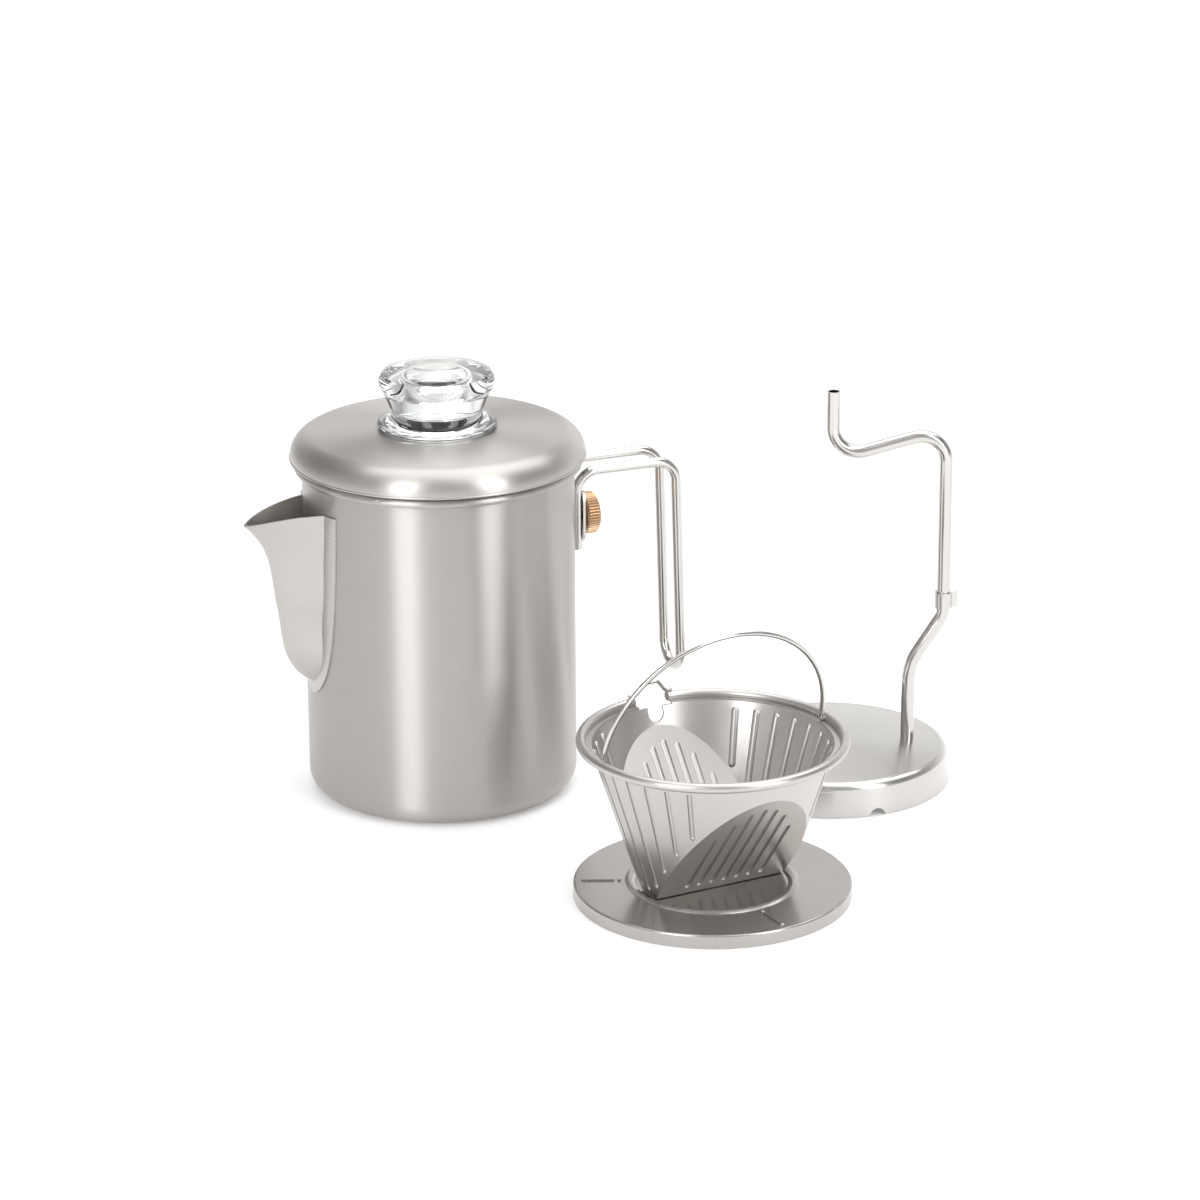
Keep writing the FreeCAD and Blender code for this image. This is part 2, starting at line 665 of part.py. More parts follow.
def thumb_screw():
    """Brass thumb screw: shank, collar and knurled head, its axis along the handle."""
    d = dims
    shank_end = d["pot_od"] / 2 + 0.9
    seat = plate_radius() + d["clamp_sheet"] + 0.1
    back = seat + 1.2
    front = back + d["screw_head_length"]
    shank = d["screw_shank"] / 2
    collar = d["screw_shank"] * 0.95
    head = d["screw_head"] / 2
    chamfer = d["screw_head_length"] * 0.14
    body = new_body("thumb_screw")
    profile = new_sketch(body, "XZ_Plane", "screw_profile")
    draw_outline(profile, [
        (ZERO, shank_end), (shank, shank_end), (shank, seat), (collar, seat), (collar, back),
        (head - chamfer, back), (head, back + chamfer), (head, front - chamfer),
        (head - chamfer, front), (head * 0.55, front), (head * 0.5, front - chamfer),
        (ZERO, front - chamfer),
    ])
    revolve(body, profile, "screw_round")
    groove = new_sketch(body, "XY_Plane", "knurl_outline")
    tooth = 0.9 * math.pi * num["screw_head"] / num["knurls"] / 2
    draw_outline(groove, [
        (head - tooth, ZERO), (head + 1, Dim(tooth + 0.6, repr(tooth + 0.6))),
        (head + 1, Dim(-tooth - 0.6, repr(-tooth - 0.6))),
    ])
    first = pocket(body, groove, front + 1, "knurl_groove", reverse=True)
    polar = polar_copies(body, first, profile, d["knurls"], "knurl")
    polar.Axis = (profile, ["V_Axis"])
    body.Placement = FreeCAD.Placement(FreeCAD.Vector(0, 0, num["screw_centre"]),
                                       FreeCAD.Rotation(FreeCAD.Vector(0, 1, 0), 90))
    bind(body, "Placement.Base.z", d["screw_centre"])
    return body


# ---------------------------------------------------------------- lid and knob

HEM_STEP = 0.3       # how far the lid's hem stands out from its side
RING_STEP = 1.2      # step of the lid's ring inside the edge of the pot's rim
LUG_REACH = 1.8      # how far the knob's lugs stand out from its neck
LUG_HEIGHT = 2.0     # thickness of those lugs


def arc_point(centre_r, centre_z, radius, share):
    """A point on the shoulder's quarter round, share of the way from upright to the crown."""
    angle = (Dim(90, "90") - dims["lid_slope"]) * share
    return centre_r + radius * angle.cosine(), centre_z + radius * angle.sine()


def crown_fall(radius, ball):
    """How far a sphere of this size has fallen from its top at a distance from the axis."""
    return ball - (ball * ball - radius * radius).root()


def lid_shape():
    """Heights and radii of the lid's outer face: hem, shoulder, crown and knob seat."""
    d = dims
    edge = d["pot_height"] + CLEAR + d["lid_gap"]
    lip = edge + d["lid_lip"]
    side = d["lid_od"] / 2 - HEM_STEP
    crest_r, crest_z = arc_point(side - d["lid_shoulder"], lip, d["lid_shoulder"], 1)
    ball = crest_r / d["lid_slope"].sine()
    flat = d["knob_od"] / 2 + 1
    seat = crest_z + crown_fall(crest_r, ball) - crown_fall(flat, ball)
    return edge, lip, side, crest_r, crest_z, ball, flat, seat


def lid_shell():
    """Domed lid with a rolled hem, a flat knob seat and a keyed hole for the knob's lugs."""
    d = dims
    edge, lip, side, crest_r, crest_z, ball, flat, seat = lid_shape()
    sheet_t = d["lid_sheet"]
    outer = d["lid_od"] / 2
    shoulder = d["lid_shoulder"]
    hole = d["knob_neck"] / 2 + CLEAR
    middle_r = (crest_r + flat) / 2
    middle_z = crest_z + crown_fall(crest_r, ball) - crown_fall(middle_r, ball)
    thin = shoulder - sheet_t
    inner_r, inner_z = arc_point(side - shoulder, lip, thin, 1)
    body = new_body("lid_shell")
    profile = new_sketch(body, "XZ_Plane", "lid_profile")
    draw_outline(profile, [
        (outer - sheet_t, edge), (outer - HEM_STEP, edge), (outer - HEM_STEP, lip - HEM_STEP / 2),
        (side, lip), (crest_r, crest_z), (flat, seat), (hole, seat), (hole, seat - sheet_t),
        (flat, seat - sheet_t), (inner_r, inner_z), (side - sheet_t, lip),
        (outer - sheet_t, lip - HEM_STEP),
    ], {
        1: (outer, (edge + lip) / 2),
        3: arc_point(side - shoulder, lip, shoulder, 0.5),
        4: (middle_r, middle_z),
        8: (middle_r, middle_z - sheet_t),
        9: arc_point(side - shoulder, lip, thin, 0.5),
    })
    revolve(body, profile, "lid_round")
    keys = new_sketch(body, "XY_Plane", "lug_slots")
    half = d["knob_neck"] * 0.16
    reach = d["knob_neck"] / 2 + LUG_REACH + 2 * CLEAR
    draw_outline(keys, [(-half, -reach), (half, -reach), (half, reach), (-half, reach)])
    pocket(body, keys, d["pot_height"] * 2, "lug_ways", reverse=True)
    return body


def lid_ring():
    """Ring inside the lid: it rests on the pot's rim, and its skirt enters the pot."""
    d = dims
    edge, lip = lid_shape()[:2]
    sheet_t = d["lid_sheet"]
    outer = d["lid_od"] / 2 - sheet_t
    skirt = d["pot_inside"] / 2 - 2 * CLEAR
    rest = edge - d["lid_gap"]
    low = rest - d["lid_skirt"]
    step = d["rim_od"] / 2 - RING_STEP
    roof = lip - HEM_STEP
    body = new_body("lid_ring")
    profile = new_sketch(body, "XZ_Plane", "ring_profile")
    draw_outline(profile, [
        (skirt - sheet_t, low), (skirt, low), (skirt, rest), (step, rest), (step, edge),
        (outer, edge), (outer, roof), (step - sheet_t, roof),
        (step - sheet_t, rest + sheet_t), (skirt - sheet_t, rest + sheet_t),
    ])
    revolve(body, profile, "ring_round")
    return body


def glass_knob():
    """Hollow glass knob that shows the coffee; two lugs on its neck lock it in the lid."""
    d = dims
    seat = lid_shape()[-1]
    foot = d["knob_od"] / 2
    top = d["knob_top_od"] / 2
    waist = d["knob_waist"] / 2
    bore = d["knob_bore"] / 2
    neck = d["knob_neck"] / 2
    rise = d["knob_height"]
    low = seat + CLEAR / 2
    neck_end = seat - d["lid_sheet"] - CLEAR - LUG_HEIGHT
    crown_r = top - 1.5
    crown_z = low + rise * 0.93
    body = new_body("glass_knob")
    profile = new_sketch(body, "XZ_Plane", "knob_profile")
    draw_outline(profile, [
        (bore, neck_end), (neck, neck_end), (neck, low), (foot - 1.3, low),
        (foot - 1.3, low + rise * 0.12), (waist, low + rise * 0.29),
        (waist + 0.9, low + rise * 0.37), (top - 1.7, low + rise * 0.62), (crown_r, crown_z),
        (ZERO, low + rise), (ZERO, low + rise * 0.78), (bore - 3, low + rise * 0.73),
        (bore, low + rise * 0.6),
    ], {
        3: (foot, low + rise * 0.06),
        4: (waist + 1.4, low + rise * 0.175),
        5: (waist + 0.25, low + rise * 0.33),
        7: (top, low + rise * 0.8),
        8: (crown_r / 2, low + rise - dome_drop(crown_r, rise * 0.07)),
        11: (bore - 0.8, low + rise * 0.69),
    })
    revolve(body, profile, "knob_round")
    lugs = new_sketch(body, "XZ_Plane", "lug_outline")
    lug_r = neck + LUG_REACH
    draw_outline(lugs, [
        (neck - 1, neck_end), (lug_r, neck_end),
        (lug_r, neck_end + LUG_HEIGHT), (neck - 1, neck_end + LUG_HEIGHT),
    ])
    arc = body.newObject("PartDesign::Revolution", "lug_round")
    arc.Profile = lugs
    arc.ReferenceAxis = (lugs, ["V_Axis"])
    arc.Angle = 28
    arc.Midplane = True
    pair = body.newObject("PartDesign::PolarPattern", "lug_pair")
    pair.Originals = [arc]
    pair.Axis = (lugs, ["V_Axis"])
    pair.Angle = 360
    pair.Occurrences = 2
    body.Tip = pair
    return body


# ---------------------------------------------------------------- drip plate

GUIDE_TURN = 38.0    # direction of the first pressed guide, degrees
GUIDE_WIDTH = 1.3    # width of the guides and of the pip at their inner end
GUIDE_RISE = 0.6     # how far they stand out from the plate
PIP_LENGTH = 1.7     # length of the pip


def recess_floor():
    """Top of the plate's middle, inside the raised ring, above the table."""
    return dims["disc_height"] - dims["disc_sheet"]


def drip_plate():
    """Flat plate with a skirt, a raised ring that locates the basket, and pressed guides."""
    d = dims
    sheet_t = d["disc_sheet"]
    outer = d["disc_od"] / 2
    top = d["disc_height"]
    low = recess_floor()
    ring_out = (d["disc_bead"] + d["disc_bead_width"]) / 2
    ring_in = (d["disc_bead"] - d["disc_bead_width"]) / 2
    ring_r = d["disc_bead"] / 2
    crest = top + 0.9
    body = new_body("drip_plate")
    profile = new_sketch(body, "XZ_Plane", "plate_profile")
    draw_outline(profile, [
        (outer - sheet_t, ZERO), (outer, ZERO), (outer, top - sheet_t), (outer - sheet_t, top),
        (ring_out, top), (ring_in, low), (ZERO, low), (ZERO, low - sheet_t),
        (ring_in + sheet_t * 0.4, low - sheet_t), (ring_out - sheet_t * 0.4, top - sheet_t),
        (outer - sheet_t, top - sheet_t),
    ], {
        2: (outer - sheet_t * (1 - SIN45), top - sheet_t * (1 - SIN45)),
        4: (ring_r + 0.15, crest),
        8: (ring_r, crest - sheet_t),
    })
    revolve(body, profile, "plate_round")
    drain = new_sketch(body, "XY_Plane", "drain_outline")
    draw_circle(drain, ZERO, ZERO, d["basket_foot_width"] * 0.8)
    across = d["disc_bead"] / 2
    draw_circle(drain, across, ZERO, d["disc_sheet"] * 2.2)
    draw_circle(drain, -across, ZERO, d["disc_sheet"] * 2.2)
    pocket(body, drain, d["disc_height"] * 2, "drain_holes", reverse=True)
    guide = new_sketch(body, "XZ_Plane", "guide_outline")
    pip = ring_out + 1.4
    pip_end = pip + PIP_LENGTH
    start = pip_end + 0.9
    end = outer - 3.0
    for near, far in ((pip, pip_end), (start, end)):
        draw_outline(guide, [
            (near, top - 0.1), (far, top - 0.1), (far - 0.3, top + GUIDE_RISE),
            (near + 0.3, top + GUIDE_RISE),
        ])
    bar = pad(body, guide, Dim(GUIDE_WIDTH, repr(GUIDE_WIDTH)), "guide", both_sides=True)
    guides = body.newObject("PartDesign::PolarPattern", "guides")
    guides.Originals = [bar]
    guides.Axis = (guide, ["V_Axis"])
    guides.Angle = 360
    guides.Occurrences = 3
    body.Tip = guides
    place(body, d["disc_x"], d["disc_y"], ZERO, GUIDE_TURN)
    return body


# ---------------------------------------------------------------- basket

CONE_RIB_STEP = 11.0     # angle between the ribs of the cone, degrees
RIB_FOOT = 4.0           # height of the ribs' lower ends
RIB_MARGIN = 0.6         # between a rib on the cone and the fold beside it
KEEPER_SINK = 0.02       # weld of the wire loop on the rim
RIB_PROUD = 1.1          # how far a rib stands out from the inner face


def basket_levels():
    """Underside of the basket and top of its cone wall, above the table."""
    low = recess_floor() + CLEAR
    return low, low + dims["basket_height"]


def cone_radius(height):
    """Outer radius of the basket's cone at a height above its foot."""
    foot = num["basket_foot"] / 2
    return foot + (num["basket_top"] / 2 - foot) * height / num["basket_height"]


def panel_offset(height):
    """Distance of the flat panels' outer faces from the basket's middle plane."""
    foot = num["basket_foot_width"] / 2
    slope = (cone_radius(num["panel_top"]) - foot) / num["panel_top"]
    return foot + slope * height


def wedge_cone(name, inset):
    """Cone flattened by two sloping panels, moved inwards by inset."""
    tall = num["basket_height"]
    extra = 1.0
    cone = Part.makeCone(cone_radius(0) - inset, cone_radius(tall + extra) - inset, tall + extra)
    rise = 2 * tall
    side = 2 * num["basket_top"]
    tilt = panel_offset(1) - panel_offset(0)
    shift = inset * math.sqrt(1 + tilt ** 2)
    wedge = Part.Wire(Part.makePolygon([
        FreeCAD.Vector(-side, -(panel_offset(0) - shift), 0),
        FreeCAD.Vector(-side, panel_offset(0) - shift, 0),
        FreeCAD.Vector(-side, panel_offset(rise) - shift, rise),
        FreeCAD.Vector(-side, -(panel_offset(rise) - shift), rise),
        FreeCAD.Vector(-side, -(panel_offset(0) - shift), 0),
    ]))
    slab = Part.Face(wedge).extrude(FreeCAD.Vector(2 * side, 0, 0))
    return cone.common(slab)


def rib_lines():
    """End points of every rib's centre line on the outer face, as (start, end, outward)."""
    lines = []
    pitch = num["rib_pitch"]
    for step in range(-3, 4):
        across = step * pitch
        top = 0.76 * num["basket_height"] - 0.05 * across ** 2
        for side in (-1, 1):
            tilt = panel_offset(1) - panel_offset(0)
            normal = FreeCAD.Vector(0, side, -tilt).normalize()
            ends = [FreeCAD.Vector(across, side * panel_offset(h), h) for h in (RIB_FOOT, top)]
            lines.append((ends[0], ends[1], normal))
    for step in range(10):
        angle = CONE_RIB_STEP * (step - 4.5)
        low = cone_rib_foot(abs(angle))
        for turn in (0, 180):
            spin = FreeCAD.Rotation(FreeCAD.Vector(0, 0, 1), angle + turn)
            slope = cone_radius(1) - cone_radius(0)
            normal = spin.multVec(FreeCAD.Vector(1, 0, -slope).normalize())
            heights = (low, 0.935 * num["basket_height"])
            ends = [spin.multVec(FreeCAD.Vector(cone_radius(h), 0, h)) for h in heights]
            lines.append((ends[0], ends[1], normal))
    return lines


def cone_rib_foot(angle):
    """Height at which a rib on the cone starts, clear of the flat panel beside it."""
    height = RIB_FOOT
    margin = num["rib_width"] / 2 + RIB_MARGIN
    while cone_radius(height) * math.sin(math.radians(angle)) > panel_offset(height) - margin:
        height += 0.5
    return height


def basket_body():
    """Cone basket with a wedge foot: wall, pressed ribs, rolled rim, notch and drip holes."""
    low, top = basket_levels()
    sheet_t = num["basket_sheet"]
    tall = num["basket_height"]
    rib_r = num["rib_width"] / 2
    outside = wedge_cone("outside", 0.0)
    inside = wedge_cone("inside", sheet_t)
    inside.translate(FreeCAD.Vector(0, 0, sheet_t))
    wall = outside.cut(inside)
    lines = rib_lines()
    sink = rib_r - RIB_PROUD - sheet_t
    ribs = [capsule(a + out * sink, b + out * sink, rib_r) for a, b, out in lines]
    grooves = [capsule(a + out * sink, b + out * sink, rib_r - sheet_t) for a, b, out in lines]
    bars = Part.makeCompound(ribs).common(outside)
    wall = wall.fuse(bars.Solids)
    wall = wall.cut(Part.makeCompound(grooves))
    rim_r = num["basket_rim"] / 2
    rim_mid = num["basket_rim_od"] / 2 - rim_r
    bead = Part.makeTorus(rim_mid, rim_r, FreeCAD.Vector(0, 0, rim_centre()))
    lip = Part.makeCylinder(rim_mid, sheet_t, FreeCAD.Vector(0, 0, tall))
    lip = lip.cut(Part.makeCylinder(cone_radius(tall) - sheet_t, tall * 2))
    trim = Part.makeBox(400, 400, 50, FreeCAD.Vector(-200, -200, tall + sheet_t * 0.5))
    solid = wall.cut(trim).fuse([bead, lip])
    solid = solid.cut(notch_blank())
    for side in (-1, 1):
        mouth = FreeCAD.Vector(side * (rim_mid - 2 * rim_r), 0, rim_centre())
        depth = 2 * rim_r + BAIL_PIN + PIN_END_GAP
        hole_r = num["bail_wire"] / 2 + PIN_CLEAR
        solid = solid.cut(Part.makeCylinder(hole_r, depth, mouth, FreeCAD.Vector(side, 0, 0)))
    for step in range(-4, 5):
        drip = Part.makeCylinder(1.2, 4, FreeCAD.Vector(step * num["rib_pitch"], 0, -1))
        solid = solid.cut(drip)
    solid = max(solid.Solids, key=lambda part: part.Volume)
    feature = shape_feature("basket_body", solid)
    place(feature, dims["disc_x"], dims["disc_y"], low, num["basket_turn"])
    return feature


def rim_centre():
    """Middle of the basket's rolled rim above its foot."""
    return num["basket_height"] + num["basket_rim"] * 0.4


def rim_top():
    """Top of the basket's rolled rim above its foot."""
    return rim_centre() + num["basket_rim"] / 2


def notch_blank():
    """The space that the notch and the gap in the rim take out of the back of the basket."""
    width = num["notch_width"]
    floor = rim_top() - num["notch_depth"] + width / 2
    slot = Part.makeBox(width, 40, 40, FreeCAD.Vector(-width / 2, 30, floor))
    end = Part.makeCylinder(width / 2, 40, FreeCAD.Vector(0, 30, floor), FreeCAD.Vector(0, 1, 0))
    gap = num["rim_gap"]
    rim_foot = num["basket_height"] - 0.4
    rim_cut = Part.makeBox(gap, 40, 40, FreeCAD.Vector(-gap / 2, 30, rim_foot))
    return slot.fuse([end, rim_cut])


def tube_keeper():
    """Bent wire loop that stands on the rim's two ends and bridges the gap between them."""
    low, top = basket_levels()
    wire = num["keeper_wire"]
    reach = num["basket_rim_od"] / 2 - num["basket_rim"] / 2 - 0.5
    base = rim_top() + wire / 2 - KEEPER_SINK
    foot = num["rim_gap"] / 2 - 0.8
    crest = foot / 2
    points = [
        (-foot - 3.0, base), (-foot, base), (-crest, base + num["keeper_rise"] - wire / 2),
        (crest, base + num["keeper_rise"] - wire / 2), (foot, base), (foot + 3.0, base),
    ]
    path = bent_path([FreeCAD.Vector(x, reach, z) for x, z in points], [wire] * 4)
    keeper = swept_round("tube_keeper", path, dims["keeper_wire"])
    place(keeper, dims["disc_x"], dims["disc_y"], low, num["basket_turn"])
    return keeper


def basket_bail():
    """Wire bail: an arch on two short legs whose turned-out ends sit in holes in the rim."""
    low, top = basket_levels()
    wire = num["bail_wire"]
    rim_mid = (num["basket_rim_od"] - num["basket_rim"]) / 2
    span = rim_mid - num["basket_rim"] / 2 - wire / 2 - CLEAR
    pin_end = rim_mid + BAIL_PIN
    leg = num["bail_leg"]
    small = wire * 0.8
    left = bent_path([FreeCAD.Vector(-pin_end, 0, 0), FreeCAD.Vector(-span, 0, 0),
                      FreeCAD.Vector(-span, 0, leg)], [small])
    arch = Part.Arc(FreeCAD.Vector(-span, 0, leg), FreeCAD.Vector(0, 0, leg + span),
                    FreeCAD.Vector(span, 0, leg)).toShape()
    right = bent_path([FreeCAD.Vector(span, 0, leg), FreeCAD.Vector(span, 0, 0),
                       FreeCAD.Vector(pin_end, 0, 0)], [small])
    bail = swept_round("basket_bail", Part.Wire(left.Edges + [arch] + right.Edges),
                       dims["bail_wire"])
    spin = FreeCAD.Rotation(FreeCAD.Vector(0, 0, 1), num["basket_turn"])
    lean = FreeCAD.Rotation(FreeCAD.Vector(1, 0, 0), num["bail_lean"])
    bail.Placement = FreeCAD.Placement(
        FreeCAD.Vector(num["disc_x"], num["disc_y"], low.value + rim_centre()),
        spin.multiply(lean))
    return bail


# ---------------------------------------------------------------- pump

KNEE_BELOW = 3.2     # tube's upper knee below the clip
KNEE_RISE = 22.0     # height of the sloping run between the tube's two knees
ARM_OUTER = 15.9     # outer end of the tube's arm below the open tip
ARM_INNER = 28.7     # inner end of that arm below the open tip
KNEE_BENDS = [24.0, 12.0]    # bending radii of the knees
ARM_BENDS = [10.2, 10.2]     # bending radii at the arm's ends
CLIP_SHEET = 0.8     # sheet thickness of the clip
CLIP_FACING = 48.0   # direction in which the clip opens, degrees from the tube's plane
CLIP_FLARE = 30.0    # flare of each lip, degrees
CLIP_LIP = 2.6       # length of each lip


def pump_base():
    """Shallow dome with a skirt; the notches in its edge let the water in."""
    d = dims
    sheet_t = d["pump_sheet"]
    foot = d["pump_od"] / 2
    top_r = foot - d["pump_taper"]
    skirt = d["pump_skirt"]
    turn = d["pump_shoulder"]
    crest_r = top_r - turn
    crest_z = skirt + turn * 0.94
    crown = d["pump_crown"]
    body = new_body("pump_base")
    profile = new_sketch(body, "XZ_Plane", "base_profile")
    middle = crown - dome_drop(crest_r, crown - crest_z)
    draw_outline(profile, [
        (foot - sheet_t, ZERO), (foot, ZERO), (top_r, skirt), (crest_r, crest_z), (ZERO, crown),
        (ZERO, crown - sheet_t), (crest_r, crest_z - sheet_t), (top_r - sheet_t, skirt),
    ], {
        2: (top_r - turn * 0.27, skirt + turn * 0.69),
        3: (crest_r / 2, middle),
        5: (crest_r / 2, middle - sheet_t),
        6: (top_r - turn * 0.27 - sheet_t * 0.72, skirt + turn * 0.69 - sheet_t * 0.72),
    })
    revolve(body, profile, "base_round")
    notch = new_sketch(body, "YZ_Plane", "inlet_outline")
    draw_circle(notch, ZERO, -(d["pump_notch"] * 0.08), d["pump_notch"])
    first = pocket(body, notch, foot + 1, "inlet_notch", reverse=True)
    polar_copies(body, first, profile, Dim(4, "4"), "inlet_notches")
    hole = new_sketch(body, "XY_Plane", "tube_hole")
    around = d["pump_notch_turn"]
    across = d["tube_foot"] * around.cosine()
    draw_circle(hole, across, -(d["tube_foot"] * around.sine()), d["tube_od"])
    pocket(body, hole, crown * 2, "tube_bore", reverse=True)
    place(body, d["pump_x"], d["pump_y"], ZERO, num["pump_turn"] + num["pump_notch_turn"])
    return body


def pump_path():
    """Centre line of the pump tube in its own plane, from the base to the open tip."""
    foot = num["tube_foot"]
    out = num["tube_offset"]
    high = num["tube_height"]
    clip = num["clip_base"]
    knee = clip - KNEE_BELOW
    points = [
        (foot, num["tube_entry"]), (foot, knee - KNEE_RISE), (out, knee),
        (out, high - ARM_OUTER), (0.0, high - ARM_INNER), (0.0, high),
    ]
    return bent_path([FreeCAD.Vector(x, 0, z) for x, z in points], KNEE_BENDS + ARM_BENDS)


def pump_tube():
    """Thin tube that carries the water up: cranked outwards past the basket, back over it."""
    path = pump_path()
    outer = swept_round("tube_outside", path, dims["tube_od"])
    inner = swept_round("tube_inside", path, dims["tube_bore"])
    tube = boolean("Cut", "pump_tube", outer, inner)
    place(tube, dims["pump_x"], dims["pump_y"], ZERO, num["pump_turn"])
    return tube


def tube_clip():
    """Spring clip on the tube that carries the basket; its two lips flare outwards."""
    d = dims
    inner = d["tube_od"] / 2 + 0.05
    tall = num["clip_height"]
    low = num["clip_base"]
    axis = FreeCAD.Vector(num["tube_offset"], 0, low)
    ring = Part.makeCylinder(inner.value + CLIP_SHEET, tall, axis)
    ring = ring.cut(Part.makeCylinder(inner.value, tall, axis))
    gap = Part.makeBox(20, 2 * inner.value * 0.8, tall, FreeCAD.Vector(0, -inner.value * 0.8, 0))
    facing = FreeCAD.Rotation(FreeCAD.Vector(0, 0, 1), CLIP_FACING)
    gap.Placement = FreeCAD.Placement(axis, facing)
    clip = ring.cut(gap)
    for side in (-1, 1):
        lip = Part.makeBox(CLIP_LIP, CLIP_SHEET, tall, FreeCAD.Vector(0, -CLIP_SHEET / 2, 0))
        flare = FreeCAD.Rotation(FreeCAD.Vector(0, 0, 1), CLIP_FACING + side * CLIP_FLARE)
        root = facing.multVec(FreeCAD.Vector(inner.value * 0.72, side * inner.value * 0.98, 0))
        lip.Placement = FreeCAD.Placement(axis + root, flare)
        clip = clip.fuse(lip)
    feature = shape_feature("tube_clip", clip.removeSplitter())
    place(feature, d["pump_x"], d["pump_y"], ZERO, num["pump_turn"])
    return feature


# ---------------------------------------------------------------- build, check and write

PIECES = [
    pot_body, spout, screw_boss, handle_wire, clamp_plate, thumb_screw, lid_shell, lid_ring,
    glass_knob, drip_plate, basket_body, tube_keeper, basket_bail, pump_base, pump_tube, tube_clip,
]


def check(nodes):
    """Stop if any object failed or any sub-part has no sound solid."""
    doc.recompute()
    for obj in doc.Objects:
        if "Invalid" in obj.State or "Error" in obj.State:
            raise RuntimeError(f"{obj.Name} failed: {obj.State}")
    for node in nodes:
        shape = node.Shape
        if shape.isNull() or not shape.isValid() or not shape.Solids:
            raise RuntimeError(f"{node.Label} has no valid solid")


def main():
    nodes = [make() for make in PIECES]
    check(nodes)
    os.makedirs("parts", exist_ok=True)
    for node in nodes:
        node.Shape.exportStep(f"parts/{node.Label}.step")
        box = node.Shape.BoundBox
        print(f"{node.Label:14s} {len(node.Shape.Solids)} solid(s) {node.Shape.Volume:10.1f} mm3",
              f"x {box.XMin:.1f}..{box.XMax:.1f} y {box.YMin:.1f}..{box.YMax:.1f}",
              f"z {box.ZMin:.1f}..{box.ZMax:.1f}")


main()
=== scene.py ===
import math

import bpy
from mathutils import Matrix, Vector


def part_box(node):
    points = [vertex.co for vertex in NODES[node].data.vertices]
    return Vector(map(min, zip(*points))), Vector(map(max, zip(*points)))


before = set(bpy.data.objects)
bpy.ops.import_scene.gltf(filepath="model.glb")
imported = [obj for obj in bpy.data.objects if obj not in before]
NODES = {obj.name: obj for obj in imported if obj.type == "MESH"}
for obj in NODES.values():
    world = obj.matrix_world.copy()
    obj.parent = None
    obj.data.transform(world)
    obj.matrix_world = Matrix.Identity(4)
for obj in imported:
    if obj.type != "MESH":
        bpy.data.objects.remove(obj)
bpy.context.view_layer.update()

bl_info = {
    "name": "Camping percolator set",
    "version": (1, 0, 0),
    "blender": (4, 5, 0),
    "location": "3D View > Sidebar > Percolator",
    "description": "Finishes the packed percolator set in steel, brass and glass, and lights it",
    "category": "Object",
}


def middle(node):
    """Centre of a CAD node's box at rest."""
    low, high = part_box(node)
    return (Vector(low) + Vector(high)) / 2


def axis_of(node):
    """Point on the floor below a round node's centre."""
    centre = middle(node)
    return Vector((centre.x, centre.y, 0.0))


# ------------------------------------------------------------------ settings


class PercolatorFinish(bpy.types.PropertyGroup):
    """Colours of the set's metals and glass."""

    satin_colour: bpy.props.FloatVectorProperty(
        name="Satin steel", description="Colour of the brushed pot, lid and plate",
        subtype="COLOR", size=3, min=0.0, max=1.0, default=(0.482, 0.461, 0.444))
    bright_colour: bpy.props.FloatVectorProperty(
        name="Bright steel", description="Colour of the polished wire, tube, base and basket",
        subtype="COLOR", size=3, min=0.0, max=1.0, default=(0.58, 0.563, 0.545))
    brass_colour: bpy.props.FloatVectorProperty(
        name="Brass", description="Colour of the thumb screw",
        subtype="COLOR", size=3, min=0.0, max=1.0, default=(0.52, 0.36, 0.235))
    glass_colour: bpy.props.FloatVectorProperty(
        name="Glass", description="Tint of the glass knob",
        subtype="COLOR", size=3, min=0.0, max=1.0, default=(0.97, 0.985, 0.98))


class PercolatorStage(bpy.types.PropertyGroup):
    """Floor, lights and camera."""

    floor_size: bpy.props.FloatProperty(
        name="Floor size", description="Width of the pale floor", subtype="DISTANCE",
        unit="LENGTH", min=1.0, default=40.0)
    floor_glow: bpy.props.FloatProperty(
        name="Floor glow", description="Light that the floor gives of its own, like a light table",
        min=0.0, default=0.17)
    key_power: bpy.props.FloatProperty(
        name="Key light", description="Power of the large soft light overhead",
        subtype="POWER", unit="POWER", min=0.0, default=52.0)
    strip_power: bpy.props.FloatProperty(
        name="Strip lights", description="Power of each upright strip light",
        subtype="POWER", unit="POWER", min=0.0, default=6.5)
    lens: bpy.props.FloatProperty(
        name="Lens", description="Focal length of the camera on a 36 mm frame",
        min=20.0, default=130.96)


# ------------------------------------------------------------------ materials

ORIGIN = (0.0, 0.0, 0.0)
NOISE_LOW, NOISE_HIGH = 0.3, 0.7        # where nearly all of a noise's values lie
LINE_PITCH = 3600.0                     # noise cells to a metre across a spun sheet's lines
LINE_DRIFT = 55.0                       # noise cells to a metre along them
DRIFT_LEAN = 0.7
HAIR_SHARE, CLOUD_SHARE = 0.75, 0.25    # how far the lines and the slow clouding show
SPUN_CLOUD, DRAWN_CLOUD = 38.0, 60.0
MARK_PITCH = 900.0
MARK_STRETCH = 0.12
GLASS_WAVE = 90.0
GLASS_IOR = 1.5
FLECK_PITCH = 30.0
QUARTER_TURN = 0.25                     # turns the soft highlight across the lines


